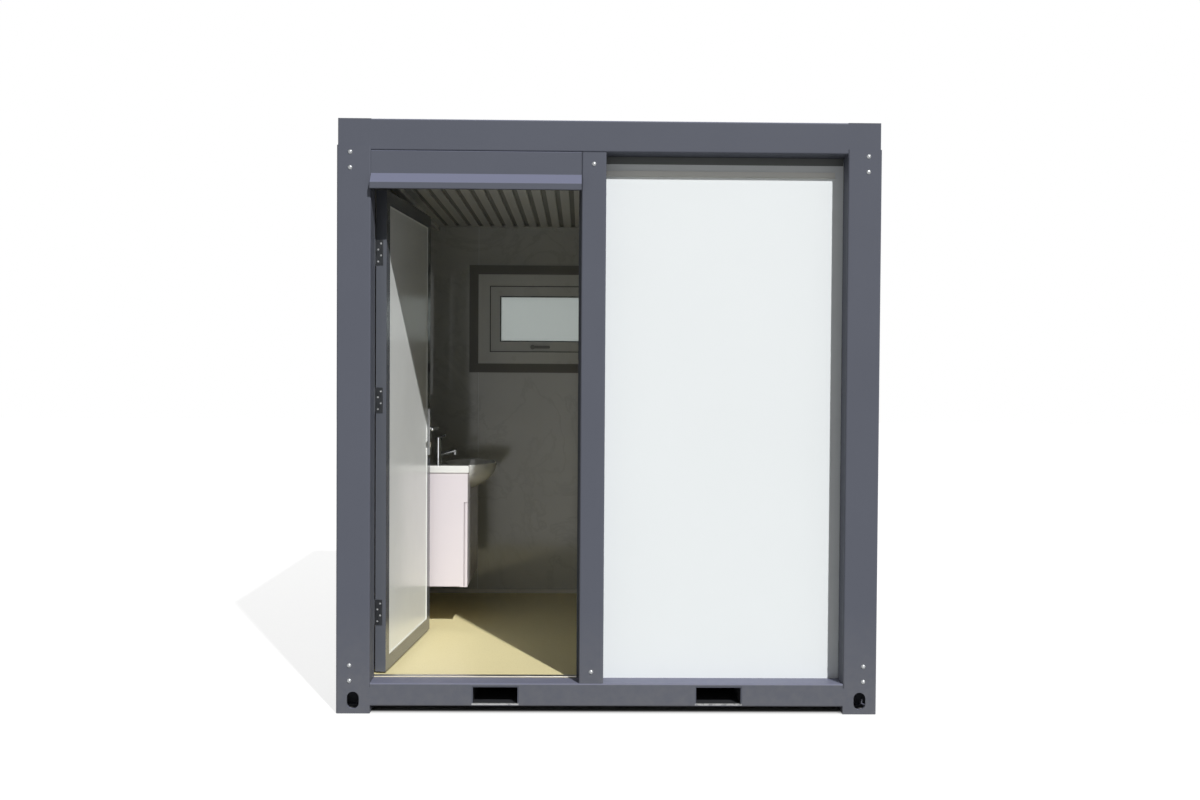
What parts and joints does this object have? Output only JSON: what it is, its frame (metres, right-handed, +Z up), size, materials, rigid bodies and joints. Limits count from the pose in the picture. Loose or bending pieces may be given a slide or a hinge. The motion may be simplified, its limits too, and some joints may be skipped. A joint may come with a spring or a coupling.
{
  "type": "toilet shower container",
  "caption": "Small steel-framed sanitary container with an inward door under a rain hood, a rear window, and a basin, toilet and shower inside.",
  "frame": {"origin": "on the ground, in the middle of the four corner castings' footprint", "axes": "+Z up, -Y towards the viewer out of the door, +X to the viewer's right"},
  "size_m": [2.262, 2.238, 2.46],
  "materials": {
    "frame_paint": "satin",
    "channel_paint": "satin",
    "pocket_paint": "matt",
    "zinc": "galvanised",
    "bolt_steel": "zinc plated",
    "plywood": "raw",
    "vinyl": "matt",
    "roof_paint": "satin",
    "strip_white": "satin",
    "wall_panel": "satin, stone print inside",
    "skirting_white": "satin",
    "door_paint": "satin",
    "door_white": "satin",
    "hinge_steel": "brushed",
    "window_white": "gloss",
    "frosted_glass": "frosted",
    "cabinet_white": "gloss",
    "ceramic_white": "glazed",
    "chrome": "polished",
    "mirror": "mirror",
    "seat_white": "gloss",
    "lamp_white": "opal",
    "pipe_grey": "matt",
    "brass": "bare"
  },
  "bodies": {
    "container": {"corner_castings": "frame_paint", "floor_beams": "frame_paint", "fork_pockets": "pocket_paint", "frame_joists": "zinc", "floor_board": "plywood", "floor_vinyl": "vinyl", "corner_posts": "frame_paint", "frame_bolts": "bolt_steel", "roof_beams": "frame_paint", "roof_corner_blocks": "frame_paint", "roof_sheet": "roof_paint", "ceiling_slats": "strip_white", "ceiling_trim": "strip_white", "mullion": "frame_paint", "front_wall_panels": "wall_panel", "side_wall_panels": "wall_panel", "rear_wall_panel": "wall_panel", "wall_top_channels": "channel_paint", "skirting": "skirting_white", "door_frame": "door_paint", "rain_hood": "frame_paint", "hinge_frame_plates": "hinge_steel", "hinge_pins": "hinge_steel", "window_surround": "channel_paint", "window_frame": "window_white", "vanity_cabinet": "cabinet_white", "basin": "ceramic_white", "basin_trap": "chrome", "basin_mixer": "chrome", "mirror_cabinet": "cabinet_white", "toilet": "ceramic_white", "cistern_lid": "ceramic_white", "shower_mixer": "chrome", "shower_riser": "chrome", "shower_head": "chrome", "floor_drain": "zinc", "ceiling_lamp": "lamp_white", "switch_plate": "seat_white", "waste_outlet": "pipe_grey", "water_inlet": "brass"},
    "door": {"door_leaf_frame": "door_paint", "door_leaf_panel": "door_white", "hinge_leaf_plates": "hinge_steel", "door_lock": "hinge_steel"},
    "door_handles": {"door_levers": "hinge_steel"},
    "bolt": {"lock_bolt": "hinge_steel"},
    "sash": {"window_sash": "window_white", "window_pane": "frosted_glass"},
    "sash_handle": {"window_handle": "window_white"},
    "cabinet_door_near": {"vanity_door_near": "cabinet_white"},
    "cabinet_door_far": {"vanity_door_far": "cabinet_white"},
    "mixer_cap": {"basin_mixer_dome": "chrome"},
    "mixer_lever": {"basin_mixer_lever": "chrome"},
    "mirror": {"mirror_door": "mirror"},
    "button": {"flush_button": "chrome"},
    "seat": {"toilet_seat": "seat_white"},
    "lid": {"toilet_lid": "seat_white"},
    "flow_knob": {"shower_flow_knob": "chrome"},
    "temperature_knob": {"shower_temperature_knob": "chrome"},
    "rocker": {"switch_rocker": "seat_white"}
  },
  "joints": [
    {"name": "door_swing", "type": "hinge", "parent": "container", "child": "door", "pos_m": [-0.9955, -0.9437, 1.2], "axis": [0, 0, 1], "range_deg": [-84.9, 0]},
    {"name": "handle_lift", "type": "hinge", "parent": "door", "child": "door_handles", "pos_m": [-0.89201, -0.10809, 1.141], "axis": [-0.996, 0.0889, 0], "range_deg": [0, 45]},
    {"name": "bolt_throw", "type": "slide", "parent": "door", "child": "bolt", "axis": [0.0889, 0.996, 0], "range_m": [0, 0.012]},
    {"name": "sash_tilt", "type": "hinge", "parent": "container", "child": "sash", "pos_m": [-0.356, 0.994, 1.9242], "axis": [1, 0, 0], "range_deg": [0, 30]},
    {"name": "sash_handle_turn", "type": "hinge", "parent": "sash", "child": "sash_handle", "pos_m": [-0.4005, 0.957, 1.5715], "axis": [0, -1, 0], "range_deg": [0, 90]},
    {"name": "cabinet_door_near_swing", "type": "hinge", "parent": "container", "child": "cabinet_door_near", "pos_m": [-0.6955, 0.009, 0.334], "axis": [0, 0, -1], "range_deg": [0, 90]},
    {"name": "cabinet_door_far_swing", "type": "hinge", "parent": "container", "child": "cabinet_door_far", "pos_m": [-0.6955, 0.581, 0.334], "axis": [0, 0, 1], "range_deg": [0, 90]},
    {"name": "mixer_turn", "type": "hinge", "parent": "container", "child": "mixer_cap", "pos_m": [-0.872, 0.295, 1.058], "axis": [0, 0, 1], "range_deg": [-45, 45]},
    {"name": "mixer_lift", "type": "hinge", "parent": "mixer_cap", "child": "mixer_lever", "pos_m": [-0.872, 0.295, 1.0683], "axis": [0, -1, 0], "range_deg": [0, 25]},
    {"name": "mirror_swing", "type": "hinge", "parent": "container", "child": "mirror", "pos_m": [-0.939, 0.5365, 1.303], "axis": [0, 0, 1], "range_deg": [0, 90]},
    {"name": "button_press", "type": "slide", "parent": "container", "child": "button", "axis": [0, 0, -1], "range_m": [0, 0.004], "stiffness_N_per_m": 800, "springref_m": -0.001},
    {"name": "seat_raise", "type": "hinge", "parent": "container", "child": "seat", "pos_m": [0.42, 0.7, 0.5371], "axis": [-1, 0, 0], "range_deg": [0, 95]},
    {"name": "lid_raise", "type": "hinge", "parent": "seat", "child": "lid", "pos_m": [0.42, 0.7, 0.5371], "axis": [1, 0, 0], "range_deg": [-95, 0]},
    {"name": "flow_turn", "type": "hinge", "parent": "container", "child": "flow_knob", "pos_m": [0.943, -0.34, 1.128], "axis": [0, 1, 0], "range_deg": [0, 90]},
    {"name": "temperature_turn", "type": "hinge", "parent": "container", "child": "temperature_knob", "pos_m": [0.943, -0.34, 1.128], "axis": [0, 1, 0], "range_deg": [0, 60]},
    {"name": "switch_rock", "type": "hinge", "parent": "container", "child": "rocker", "pos_m": [0.06, -0.942, 1.28], "axis": [1, 0, 0], "range_deg": [0, 8]}
  ],
  "couplings": [
    {"joint": "bolt_throw", "follows": "handle_lift", "m_per_rad": 0.015279}
  ]
}
